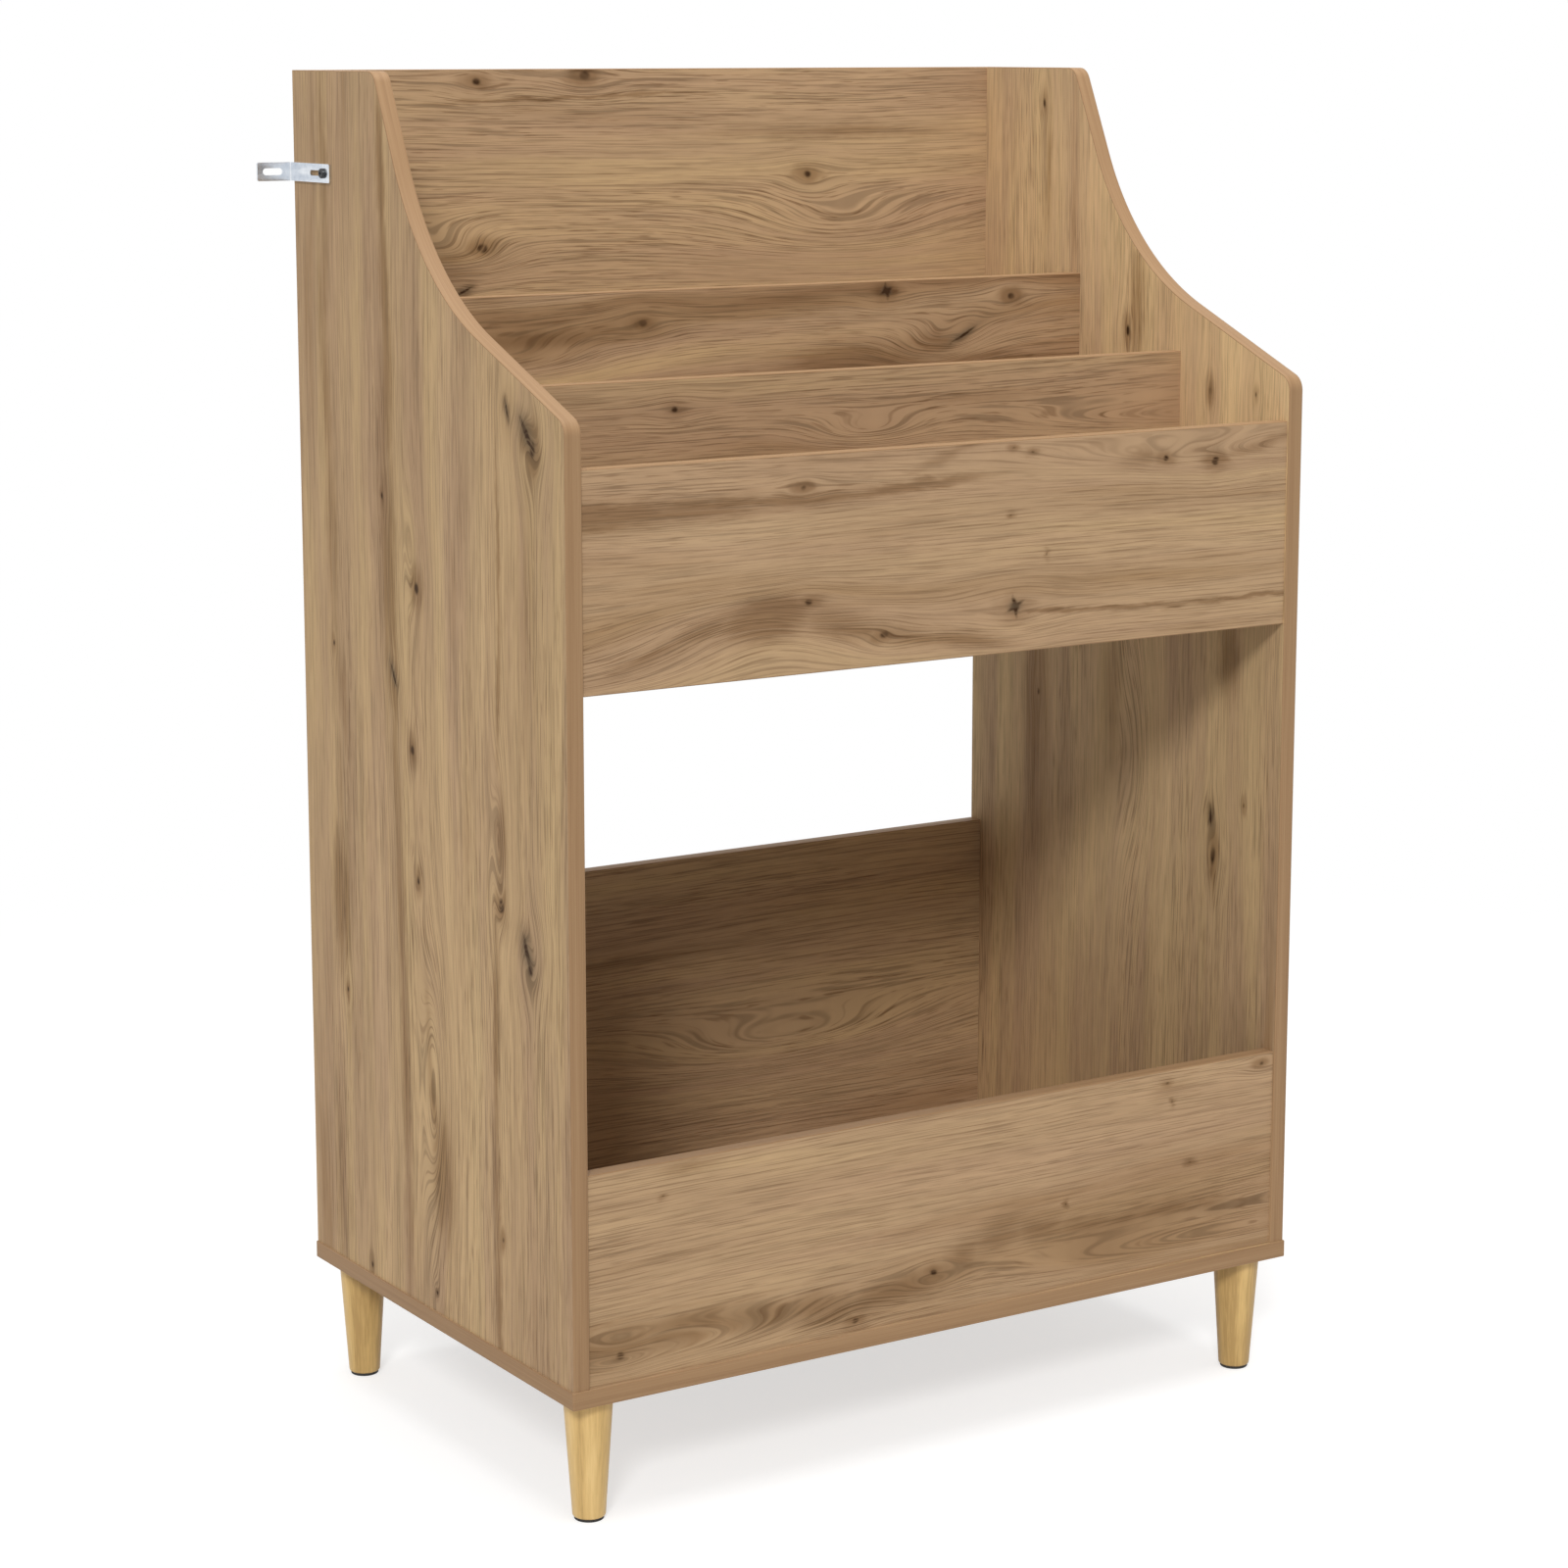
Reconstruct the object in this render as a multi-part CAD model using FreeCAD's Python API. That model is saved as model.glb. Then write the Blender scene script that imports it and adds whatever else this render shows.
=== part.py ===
# Media shelf: stepped bins over an open compartment, made of boards on turned legs.
# Millimetres, +Z up, +X to the right seen from the front, +Y towards the wall.
# The origin is on the floor, under the middle of the outline with its wall brackets.
import FreeCAD, Part
import math
import os
from collections import namedtuple

Vector = FreeCAD.Vector

# Boards
BOARD = 15.0                # thickness of every board
EDGE_BAND = 0.8             # thickness of the glued edge bands
OUTER_WIDTH = 744.0         # over the outer faces of the two sides
SIDE_DEPTH = 475.0          # front edge to back edge of a side
BASE_OVERHANG = 1.5         # base beyond the sides, at the front and at both ends
PANEL_HEIGHT = 180.0        # both front panels and both dividers
LOWER_BACK_HEIGHT = 315.0
FRONT_SETBACK = 2.0         # front panels behind the front edges of the sides

# Steps upwards, from the top of each board to the next
ACCESS_HEIGHT = 391.5       # open front between the two front panels
MIDDLE_STEP = 51.5          # upper front panel to middle divider
REAR_STEP = 63.0            # middle divider to rear divider
BACK_RISE = 190.0           # rear divider to upper back panel and sides
BIN_LIP = 88.0              # top of a board above the bin floor behind it
UPPER_BACK_SKIRT = 22.0     # upper back panel below the rear bin floor

# Swept outline of the sides
FLAT_TOP_DEPTH = 155.0      # level top, from the back edge to its front corner
SWEEP_RUN = 80.0            # from there forward to where the two slopes would meet
SWEEP_RISE = 96.0           # that point above the corner of the front edge
FRONT_CORNER_RISE = 36.5    # corner of the front edge above the upper front panel
SWEEP_RADIUS = 260.0        # hollow curve between the two slopes
CORNER_RADIUS = 15.0        # rounded corners at the ends of the slopes

# Legs and what holds them
LEG_HEIGHT = 105.0
LEG_TOP_RADIUS = 21.0
LEG_FOOT_RADIUS = 14.0
LEG_FOOT_ROUND = 2.0        # rounded lower edge of a leg
LEG_INSET = 30.0            # leg axis inside the outer faces and edges of the sides
PAD_MARGIN = 1.5            # pad inside the foot of its leg
PAD_HEIGHT = 2.5
HANGER_RADIUS = 4.0
HANGER_IN_LEG = 32.0
HANGER_SHORTFALL = 1.0      # end of a hanger bolt below the end of its nut
INSERT_SHELL = 1.9          # wall of an insert nut
INSERT_COVER = 2.5          # wood left over an insert nut

# Dowels
DOWEL_RADIUS = 4.0
DOWEL_IN_EDGE = 19.5        # into the edge of the board that is carried
DOWEL_CHAMFER = 1.0
DOWEL_INSET = 25.0          # dowels from the long edges of a cross board
BASE_DOWEL_INSET = 60.0     # dowels under a side, from its front and back edges
BASE_DOWEL_SPREAD = 230.0   # outer dowels under a cross board, from its middle

# Cam fittings
CAM_RADIUS = 7.4
CAM_RECESS = 0.3            # cam face below the board's face
CAM_COVER = 2.6             # wood left under a cam
CAM_REACH = 24.0            # cam axis from the end of its board
CAM_INSET = 60.0            # cam axis from the long edge of an upright board
CAM_DRIVE_LENGTH = 7.0
CAM_DRIVE_WIDTH = 1.2
CAM_DRIVE_DEPTH = 2.0
BOLT_THREAD_RADIUS = 3.0
BOLT_SHANK_RADIUS = 2.4
BOLT_HEAD_RADIUS = 3.4
BOLT_HEAD_LENGTH = 3.0

# Screws between base and sides
SCREW_HEAD_RADIUS = 5.0
SCREW_HEAD_HEIGHT = 3.0
SCREW_SHOULDER_RADIUS = 3.5
SCREW_THREAD_RADIUS = 2.5
SCREW_THREAD_LENGTH = 35.0  # thread that stands in the side
SCREW_INSET = 95.0          # outer screws from the front and back edges of a side

# Wall brackets
STRIP_WIDTH = 16.0
STRIP_THICKNESS = 2.0
STRIP_CORNER = 1.5          # rounded corners at the free ends
BEND_RADIUS = 1.5           # inside of the bend
BRACKET_DROP = 87.0         # middle of the strip below the top of a side
BRACKET_REACH = 4.0         # wall face of the bracket behind the back edge of a side
SIDE_LEG_LENGTH = 77.0      # along the side, up to the wall face
WALL_LEG_LENGTH = 34.0      # along the wall, from the face of the side
SIDE_SLOT_LENGTH = 27.0
SIDE_SLOT_WIDTH = 4.6
SIDE_SLOT_ROOM = 0.3        # radial room round the screw in the slot
SIDE_SLOT_MARGIN = 10.0     # end of the slot from the free end of its leg
WALL_SLOT_LENGTH = 19.0
WALL_SLOT_WIDTH = 6.0
WALL_SLOT_MARGIN = 5.0      # end of the slot from the free end of its leg
PAN_HEAD_LAP = 2.0          # head over the edge of the slot
PAN_HEAD_HEIGHT = 2.6
PAN_HEAD_ROUND = 1.2
PAN_DRIVE_LENGTH = 4.6
PAN_DRIVE_WIDTH = 1.0
PAN_DRIVE_DEPTH = 1.3

# Clearances
FIT = 0.1                   # radial room round a fastener in its hole
HOLE_RELIEF = 0.5           # room past the end of a fastener in a blind hole
BLIND_COVER = 4.0           # wood left past a blind hole in a board's face
SLIDE_ROOM = 0.1            # between a bracket and what it slides along

# Levels and planes worked out from the sizes above
BASE_BOTTOM = PAD_HEIGHT + LEG_HEIGHT
BASE_TOP = BASE_BOTTOM + BOARD
LOWER_FRONT_TOP = BASE_TOP + PANEL_HEIGHT
UPPER_FRONT_TOP = LOWER_FRONT_TOP + ACCESS_HEIGHT + PANEL_HEIGHT
MIDDLE_DIVIDER_TOP = UPPER_FRONT_TOP + MIDDLE_STEP
REAR_DIVIDER_TOP = MIDDLE_DIVIDER_TOP + REAR_STEP
UPPER_BACK_BOTTOM = REAR_DIVIDER_TOP - BIN_LIP - BOARD - UPPER_BACK_SKIRT
SIDE_TOP = REAR_DIVIDER_TOP + BACK_RISE
FRONT_CORNER = UPPER_FRONT_TOP + FRONT_CORNER_RISE
OUTER_FACE = OUTER_WIDTH / 2
INNER_FACE = OUTER_FACE - BOARD
SIDE_FRONT = BASE_OVERHANG - (BASE_OVERHANG + SIDE_DEPTH + BRACKET_REACH) / 2
SIDE_BACK = SIDE_FRONT + SIDE_DEPTH
PITCH = (SIDE_DEPTH - BOARD) / 3    # three bins share the depth
IN_FACE = BOARD - BLIND_COVER - HOLE_RELIEF     # fastener in a blind hole in a board's face
INSERT_RADIUS = HANGER_RADIUS + FIT + INSERT_SHELL
INSERT_LENGTH = BOARD - INSERT_COVER - HOLE_RELIEF
CAM_HEIGHT = BOARD - CAM_RECESS - FIT - CAM_COVER
PAN_SHANK_RADIUS = SIDE_SLOT_WIDTH / 2 - SIDE_SLOT_ROOM
PAN_HEAD_RADIUS = SIDE_SLOT_WIDTH / 2 + PAN_HEAD_LAP
PAN_SEAT = STRIP_THICKNESS + 2 * SLIDE_ROOM     # underside of the head off the face of the side
PAN_SHANK_LENGTH = PAN_SEAT + IN_FACE
LEFT = -1
RIGHT = 1
SIDE_NAMES = {LEFT: "left_side_panel", RIGHT: "right_side_panel"}

# A cross board stands upright between the sides; front is its front face.
CrossBoard = namedtuple("CrossBoard", "name front bottom height cam_levels banded")

shapes = {}
cutters = {}
dowels = []
cam_bolts = []
cam_locks = []


def add_cutter(node, cutter):
    """Keep a hole to be cut from a board once all holes are known."""
    cutters.setdefault(node, []).append(cutter)


def box(low, high):
    """Block between two opposite corners."""
    size = high - low
    return Part.makeBox(size.x, size.y, size.z, low)


def rounded_corner(before, corner, after, radius):
    """Start, middle and end of the arc that rounds one corner of an outline."""
    backward = (before - corner).normalize()
    forward = (after - corner).normalize()
    half_angle = backward.getAngle(forward) / 2
    bisector = (backward + forward).normalize()
    tangent = radius / math.tan(half_angle)
    middle = corner + bisector * (radius / math.sin(half_angle) - radius)
    return corner + backward * tangent, middle, corner + forward * tangent


def rounded_wire(points, radii):
    """Closed wire of straight lines through points, each corner with its radius."""
    edges = []
    count = len(points)
    ends = []
    for index, radius in enumerate(radii):
        corner = points[index]
        if radius > 0:
            arc = rounded_corner(points[index - 1], corner, points[(index + 1) % count], radius)
            ends.append((arc[0], arc[2]))
            edges.append(Part.Arc(*arc).toShape())
        else:
            ends.append((corner, corner))
    for index in range(count):
        edges.append(Part.makeLine(ends[index - 1][1], ends[index][0]))
    return Part.Wire(Part.sortEdges(edges)[0])


def slot(middle, along, through, length, width):
    """Round-ended cutter centred on middle, long in along, deep in through."""
    depth = through.Length
    direction = through.normalize()
    across = direction.cross(along)
    reach = (length - width) / 2
    start = middle - direction * (depth / 2)
    corners = []
    for x, y in ((-1, -1), (1, -1), (1, 1), (-1, 1)):
        corners.append(start + along * (x * reach) + across * (y * width / 2))
    straight = Part.Face(Part.makePolygon(corners + corners[:1])).extrude(direction * depth)
    round_ends = []
    for end in (-1, 1):
        round_ends.append(Part.makeCylinder(width / 2, depth, start + along * (end * reach), direction))
    return straight.fuse(round_ends)


def cross_recess(length, width, depth, top):
    """Cross-shaped drive recess about the Z axis, sunk from the level top."""
    one = box(Vector(-length / 2, -width / 2, top - depth), Vector(length / 2, width / 2, top + depth))
    other = box(Vector(-width / 2, -length / 2, top - depth), Vector(width / 2, length / 2, top + depth))
    return one.fuse(other)


def placed(shape, origin, x_axis, z_axis):
    """Copy of a shape with its own X and Z turned to the given directions."""
    turned = shape.copy()
    turned.Placement = FreeCAD.Placement(
        origin, FreeCAD.Rotation(x_axis, z_axis.cross(x_axis), z_axis, "ZXY"))
    return turned


def side_outline(inset):
    """Outline of a side at x = 0, moved in by inset along the banded edges."""
    path = [
        Vector(0, SIDE_BACK, SIDE_TOP),
        Vector(0, SIDE_BACK - FLAT_TOP_DEPTH, SIDE_TOP),
        Vector(0, SIDE_BACK - FLAT_TOP_DEPTH - SWEEP_RUN, FRONT_CORNER + SWEEP_RISE),
        Vector(0, SIDE_FRONT, FRONT_CORNER),
        Vector(0, SIDE_FRONT, BASE_TOP),
    ]
    normals = []
    for start, end in zip(path, path[1:]):
        along = (end - start).normalize()
        normals.append(Vector(0, -along.z, along.y))
    moved = [path[0] + normals[0] * inset]
    for corner, first, second in zip(path[1:-1], normals, normals[1:]):
        moved.append(corner + (first + second) * (inset / (1 + first.dot(second))))
    moved.append(path[-1] + normals[-1] * inset)
    points = [Vector(0, SIDE_BACK, BASE_TOP)] + moved
    round_corner = CORNER_RADIUS - inset
    return rounded_wire(points, [0, 0, round_corner, SWEEP_RADIUS + inset, round_corner, 0])


def make_sides():
    """Both sides and the bands along their top, sweep and front."""
    thickness = Vector(BOARD, 0, 0)
    whole = Part.Face(side_outline(0)).extrude(thickness)
    core = Part.Face(side_outline(EDGE_BAND)).extrude(thickness)
    band = whole.cut(core)
    for side, left_face in ((LEFT, -OUTER_FACE), (RIGHT, INNER_FACE)):
        name = SIDE_NAMES[side]
        shapes[name] = core.translated(Vector(left_face, 0, 0))
        shapes[name.replace("panel", "edge_band")] = band.translated(Vector(left_face, 0, 0))


def make_base():
    """Base board and the bands round its front and both ends."""
    end = OUTER_FACE + BASE_OVERHANG
    front = SIDE_FRONT - BASE_OVERHANG
    core_end = end - EDGE_BAND
    core_front = front + EDGE_BAND
    shapes["base_board"] = box(Vector(-core_end, core_front, BASE_BOTTOM), Vector(core_end, SIDE_BACK, BASE_TOP))
    strips = [box(Vector(-end, front, BASE_BOTTOM), Vector(end, core_front, BASE_TOP))]
    for low, high in ((-end, -core_end), (core_end, end)):
        strips.append(box(Vector(low, core_front, BASE_BOTTOM), Vector(high, SIDE_BACK, BASE_TOP)))
    shapes["base_edge_band"] = Part.makeCompound(strips)


def make_cross_board(board):
    """One upright board between the sides, with bands on the edges that show."""
    back = board.front + BOARD
    low = board.bottom
    high = board.bottom + board.height
    strips = []
    if "top" in board.banded:
        strips.append(box(Vector(-INNER_FACE, board.front, high - EDGE_BAND), Vector(INNER_FACE, back, high)))
        high -= EDGE_BAND
    if "bottom" in board.banded:
        strips.append(box(Vector(-INNER_FACE, board.front, low), Vector(INNER_FACE, back, low + EDGE_BAND)))
        low += EDGE_BAND
    shapes[board.name] = box(Vector(-INNER_FACE, board.front, low), Vector(INNER_FACE, back, high))
    shapes[board.name + "_edge_band"] = Part.makeCompound(strips)


def add_dowel(carrier, carried, point, into_carrier):
    """Dowel across a joint: point lies on the carrier's face, in the middle of the other's edge."""
    tail = point - into_carrier * DOWEL_IN_EDGE
    length = DOWEL_IN_EDGE + IN_FACE
    body = Part.makeCylinder(DOWEL_RADIUS, length, tail, into_carrier)
    round_edges = [edge for edge in body.Edges if edge.Closed]
    dowels.append(body.makeChamfer(DOWEL_CHAMFER, round_edges))
    hole_radius = DOWEL_RADIUS + FIT
    add_cutter(carrier, Part.makeCylinder(hole_radius, IN_FACE + HOLE_RELIEF, point, into_carrier))
    add_cutter(carried, Part.makeCylinder(hole_radius, DOWEL_IN_EDGE + HOLE_RELIEF, point, -into_carrier))


def cam_lock():
    """Cam about its own Z axis: the bolt comes in along X at the level z = 0."""
    top = BOARD / 2 - CAM_RECESS
    body = Part.makeCylinder(CAM_RADIUS, CAM_HEIGHT, Vector(0, 0, top - CAM_HEIGHT))
    along = Vector(1, 0, 0)
    pocket_length = BOLT_HEAD_LENGTH + 2 * FIT
    pocket = Part.makeCylinder(BOLT_HEAD_RADIUS + FIT, pocket_length, Vector(-pocket_length / 2, 0, 0), along)
    throat = Part.makeCylinder(BOLT_SHANK_RADIUS + FIT, 2 * CAM_RADIUS, Vector(0, 0, 0), along)
    drive = cross_recess(CAM_DRIVE_LENGTH, CAM_DRIVE_WIDTH, CAM_DRIVE_DEPTH, top)
    return body.cut([pocket, throat, drive])


def add_cam(side_name, board_name, point, into_side, open_face):
    """Cam bolt in a side and the cam lock in the board that it pulls against it."""
    centre = point - into_side * CAM_REACH
    thread = Part.makeCylinder(BOLT_THREAD_RADIUS, IN_FACE, point, into_side)
    shank = Part.makeCylinder(BOLT_SHANK_RADIUS, CAM_REACH, centre, into_side)
    head = Part.makeCylinder(
        BOLT_HEAD_RADIUS, BOLT_HEAD_LENGTH, centre - into_side * (BOLT_HEAD_LENGTH / 2), into_side)
    cam_bolts.append(thread.fuse([shank, head]).removeSplitter())
    cam_locks.append(placed(cam_lock(), centre, into_side, open_face))
    add_cutter(side_name, Part.makeCylinder(
        BOLT_THREAD_RADIUS + FIT, IN_FACE + HOLE_RELIEF, point, into_side))
    add_cutter(board_name, Part.makeCylinder(BOLT_HEAD_RADIUS + FIT, CAM_REACH, centre, into_side))
    cam_depth = CAM_RECESS + CAM_HEIGHT + FIT
    add_cutter(board_name, Part.makeCylinder(
        CAM_RADIUS + FIT, cam_depth, centre + open_face * (BOARD / 2), -open_face))


def join_cross_board(board):
    """Dowels and cams at both ends of an upright board; the cams open to the back."""
    middle = board.front + BOARD / 2
    dowel_levels = (board.bottom + DOWEL_INSET, board.bottom + board.height - DOWEL_INSET)
    for side, side_name in SIDE_NAMES.items():
        into_side = Vector(side, 0, 0)
        for level in dowel_levels:
            add_dowel(side_name, board.name, Vector(side * INNER_FACE, middle, level), into_side)
        for level in board.cam_levels:
            point = Vector(side * INNER_FACE, middle, level)
            add_cam(side_name, board.name, point, into_side, Vector(0, 1, 0))


def make_bin_floor(name, front_board, back_board):
    """Floor of one bin, between two upright boards, with its dowels and cams."""
    front = front_board.front + BOARD
    back = back_board.front
    top = front_board.bottom + front_board.height - BIN_LIP
    shapes[name] = box(Vector(-INNER_FACE, front, top - BOARD), Vector(INNER_FACE, back, top))
    level = top - BOARD / 2
    for side, side_name in SIDE_NAMES.items():
        into_side = Vector(side, 0, 0)
        for depth in (front + DOWEL_INSET, back - DOWEL_INSET):
            add_dowel(side_name, name, Vector(side * INNER_FACE, depth, level), into_side)
        point = Vector(side * INNER_FACE, (front + back) / 2, level)
        add_cam(side_name, name, point, into_side, Vector(0, 0, -1))


def join_base(standing_boards):
    """Dowels from the base up into the sides and the boards that stand on it."""
    down = Vector(0, 0, -1)
    for side, side_name in SIDE_NAMES.items():
        middle = side * (OUTER_FACE - BOARD / 2)
        for depth in (SIDE_FRONT + BASE_DOWEL_INSET, SIDE_BACK - BASE_DOWEL_INSET):
            add_dowel("base_board", side_name, Vector(middle, depth, BASE_TOP), down)
    for board in standing_boards:
        for place in (-BASE_DOWEL_SPREAD, 0, BASE_DOWEL_SPREAD):
            add_dowel("base_board", board.name, Vector(place, board.front + BOARD / 2, BASE_TOP), down)


def make_base_screws():
    """Countersunk screws from under the base into the lower edges of the sides."""
    up = Vector(0, 0, 1)
    screws = []
    for side, side_name in SIDE_NAMES.items():
        middle = side * (OUTER_FACE - BOARD / 2)
        for depth in (SIDE_FRONT + SCREW_INSET, (SIDE_FRONT + SIDE_BACK) / 2, SIDE_BACK - SCREW_INSET):
            foot = Vector(middle, depth, BASE_BOTTOM)
            top = Vector(middle, depth, BASE_TOP)
            head = Part.makeCone(SCREW_HEAD_RADIUS, SCREW_SHOULDER_RADIUS, SCREW_HEAD_HEIGHT, foot, up)
            shoulder = Part.makeCylinder(SCREW_SHOULDER_RADIUS, BOARD, foot, up)
            thread = Part.makeCylinder(SCREW_THREAD_RADIUS, SCREW_THREAD_LENGTH, top, up)
            screws.append(head.fuse([shoulder, thread]).removeSplitter())
            add_cutter("base_board", Part.makeCone(
                SCREW_HEAD_RADIUS + FIT, SCREW_SHOULDER_RADIUS + FIT, SCREW_HEAD_HEIGHT, foot, up))
            add_cutter("base_board", Part.makeCylinder(SCREW_SHOULDER_RADIUS + FIT, BOARD, foot, up))
            add_cutter(side_name, Part.makeCylinder(
                SCREW_THREAD_RADIUS + FIT, SCREW_THREAD_LENGTH + HOLE_RELIEF, top, up))
    shapes["base_screws"] = Part.makeCompound(screws)


def make_legs():
    """Four conical legs on hanger bolts, the nuts in the base, and the foot pads."""
    up = Vector(0, 0, 1)
    bolts = []
    nuts = []
    places = {
        "front_left": (LEFT, SIDE_FRONT + LEG_INSET),
        "front_right": (RIGHT, SIDE_FRONT + LEG_INSET),
        "rear_left": (LEFT, SIDE_BACK - LEG_INSET),
        "rear_right": (RIGHT, SIDE_BACK - LEG_INSET),
    }
    for name, (side, depth) in places.items():
        floor = Vector(side * (OUTER_FACE - LEG_INSET), depth, 0)
        foot = floor + up * PAD_HEIGHT
        top = floor + up * BASE_BOTTOM
        cone = Part.makeCone(LEG_FOOT_RADIUS, LEG_TOP_RADIUS, LEG_HEIGHT, foot, up)
        foot_edge = [edge for edge in cone.Edges if edge.Closed and edge.BoundBox.ZMax < foot.z + FIT]
        bore_depth = HANGER_IN_LEG + HOLE_RELIEF
        bore = Part.makeCylinder(HANGER_RADIUS + FIT, bore_depth, top, -up)
        shapes[name + "_leg"] = cone.makeFillet(LEG_FOOT_ROUND, foot_edge).cut(bore)
        shapes[name + "_foot_pad"] = Part.makeCylinder(LEG_FOOT_RADIUS - PAD_MARGIN, PAD_HEIGHT, floor, up)
        bolt_length = HANGER_IN_LEG + INSERT_LENGTH - HANGER_SHORTFALL
        bolts.append(Part.makeCylinder(HANGER_RADIUS, bolt_length, top - up * HANGER_IN_LEG, up))
        sleeve = Part.makeCylinder(INSERT_RADIUS, INSERT_LENGTH, top, up)
        nuts.append(sleeve.cut(Part.makeCylinder(HANGER_RADIUS + FIT, INSERT_LENGTH, top, up)))
        add_cutter("base_board", Part.makeCylinder(INSERT_RADIUS + FIT, INSERT_LENGTH + HOLE_RELIEF, top, up))
    shapes["leg_hanger_bolts"] = Part.makeCompound(bolts)
    shapes["leg_insert_nuts"] = Part.makeCompound(nuts)


def wall_bracket(screw_depth):
    """Right-hand bracket: a strip along the side, bent out along the wall, with two slots."""
    inner = OUTER_FACE + SLIDE_ROOM
    outer = inner + STRIP_THICKNESS
    wall_face = SIDE_BACK + BRACKET_REACH
    front_end = wall_face - SIDE_LEG_LENGTH
    wall_end = inner + WALL_LEG_LENGTH
    level = SIDE_TOP - BRACKET_DROP
    low = level - STRIP_WIDTH / 2
    points = [
        Vector(inner, front_end, low),
        Vector(outer, front_end, low),
        Vector(outer, wall_face - STRIP_THICKNESS, low),
        Vector(wall_end, wall_face - STRIP_THICKNESS, low),
        Vector(wall_end, wall_face, low),
        Vector(inner, wall_face, low),
    ]
    radii = [0, 0, BEND_RADIUS, 0, 0, BEND_RADIUS + STRIP_THICKNESS]
    strip = Part.Face(rounded_wire(points, radii)).extrude(Vector(0, 0, STRIP_WIDTH))
    end_edges = []
    for edge in strip.Edges:
        middle = edge.CenterOfMass
        thin = abs(edge.Length - STRIP_THICKNESS) < FIT
        if thin and (middle.y < front_end + FIT or middle.x > wall_end - FIT):
            end_edges.append(edge)
    strip = strip.makeFillet(STRIP_CORNER, end_edges)
    through = 4 * STRIP_THICKNESS
    side_slot_middle = screw_depth + (SIDE_SLOT_LENGTH - SIDE_SLOT_WIDTH) / 2
    side_slot = slot(
        Vector(inner, side_slot_middle, level), Vector(0, 1, 0), Vector(through, 0, 0),
        SIDE_SLOT_LENGTH, SIDE_SLOT_WIDTH)
    wall_slot_middle = wall_end - WALL_SLOT_MARGIN - WALL_SLOT_LENGTH / 2
    wall_slot = slot(
        Vector(wall_slot_middle, wall_face, level), Vector(1, 0, 0), Vector(0, through, 0),
        WALL_SLOT_LENGTH, WALL_SLOT_WIDTH)
    return strip.cut([side_slot, wall_slot])


def pan_screw():
    """Pan-head screw about its own Z axis, with the underside of its head at z = 0."""
    head = Part.makeCylinder(PAN_HEAD_RADIUS, PAN_HEAD_HEIGHT)
    top_edge = [edge for edge in head.Edges if edge.Closed and edge.BoundBox.ZMin > PAN_HEAD_HEIGHT - FIT]
    head = head.makeFillet(PAN_HEAD_ROUND, top_edge)
    shank = Part.makeCylinder(PAN_SHANK_RADIUS, PAN_SHANK_LENGTH, Vector(0, 0, -PAN_SHANK_LENGTH))
    drive = cross_recess(PAN_DRIVE_LENGTH, PAN_DRIVE_WIDTH, PAN_DRIVE_DEPTH, PAN_HEAD_HEIGHT)
    return head.cut(drive).fuse(shank).removeSplitter()


def make_brackets():
    """Both wall brackets, the second a mirror image, and the screws in their slots."""
    level = SIDE_TOP - BRACKET_DROP
    front_end = SIDE_BACK + BRACKET_REACH - SIDE_LEG_LENGTH
    screw_depth = front_end + SIDE_SLOT_MARGIN + SIDE_SLOT_WIDTH / 2
    right = wall_bracket(screw_depth)
    shapes["right_wall_bracket"] = right
    shapes["left_wall_bracket"] = right.mirror(Vector(0, 0, 0), Vector(1, 0, 0))
    screws = []
    for side, side_name in SIDE_NAMES.items():
        outward = Vector(side, 0, 0)
        under_head = Vector(side * (OUTER_FACE + PAN_SEAT), screw_depth, level)
        screws.append(placed(pan_screw(), under_head, Vector(0, 0, 1), outward))
        mouth = Vector(side * OUTER_FACE, screw_depth, level)
        add_cutter(side_name, Part.makeCylinder(PAN_SHANK_RADIUS + FIT, IN_FACE + HOLE_RELIEF, mouth, -outward))
    shapes["bracket_screws"] = Part.makeCompound(screws)


def cross_boards():
    """The six upright boards between the sides, by name."""
    front_face = SIDE_FRONT + FRONT_SETBACK
    back_face = SIDE_BACK - BOARD

    def panel(name, front, top, banded):
        bottom = top - PANEL_HEIGHT
        return CrossBoard(name, front, bottom, PANEL_HEIGHT, [bottom + CAM_INSET], banded)

    def back_panel(name, bottom, top):
        cam_levels = [bottom + CAM_INSET, top - CAM_INSET]
        return CrossBoard(name, back_face, bottom, top - bottom, cam_levels, ["top"])

    boards = [
        panel("lower_front_panel", front_face, LOWER_FRONT_TOP, ["top"]),
        panel("upper_front_panel", front_face, UPPER_FRONT_TOP, ["top", "bottom"]),
        panel("middle_divider", SIDE_FRONT + PITCH, MIDDLE_DIVIDER_TOP, ["top"]),
        panel("rear_divider", SIDE_FRONT + 2 * PITCH, REAR_DIVIDER_TOP, ["top"]),
        back_panel("lower_back_panel", BASE_TOP, BASE_TOP + LOWER_BACK_HEIGHT),
        back_panel("upper_back_panel", UPPER_BACK_BOTTOM, SIDE_TOP),
    ]
    return {board.name: board for board in boards}


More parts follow.
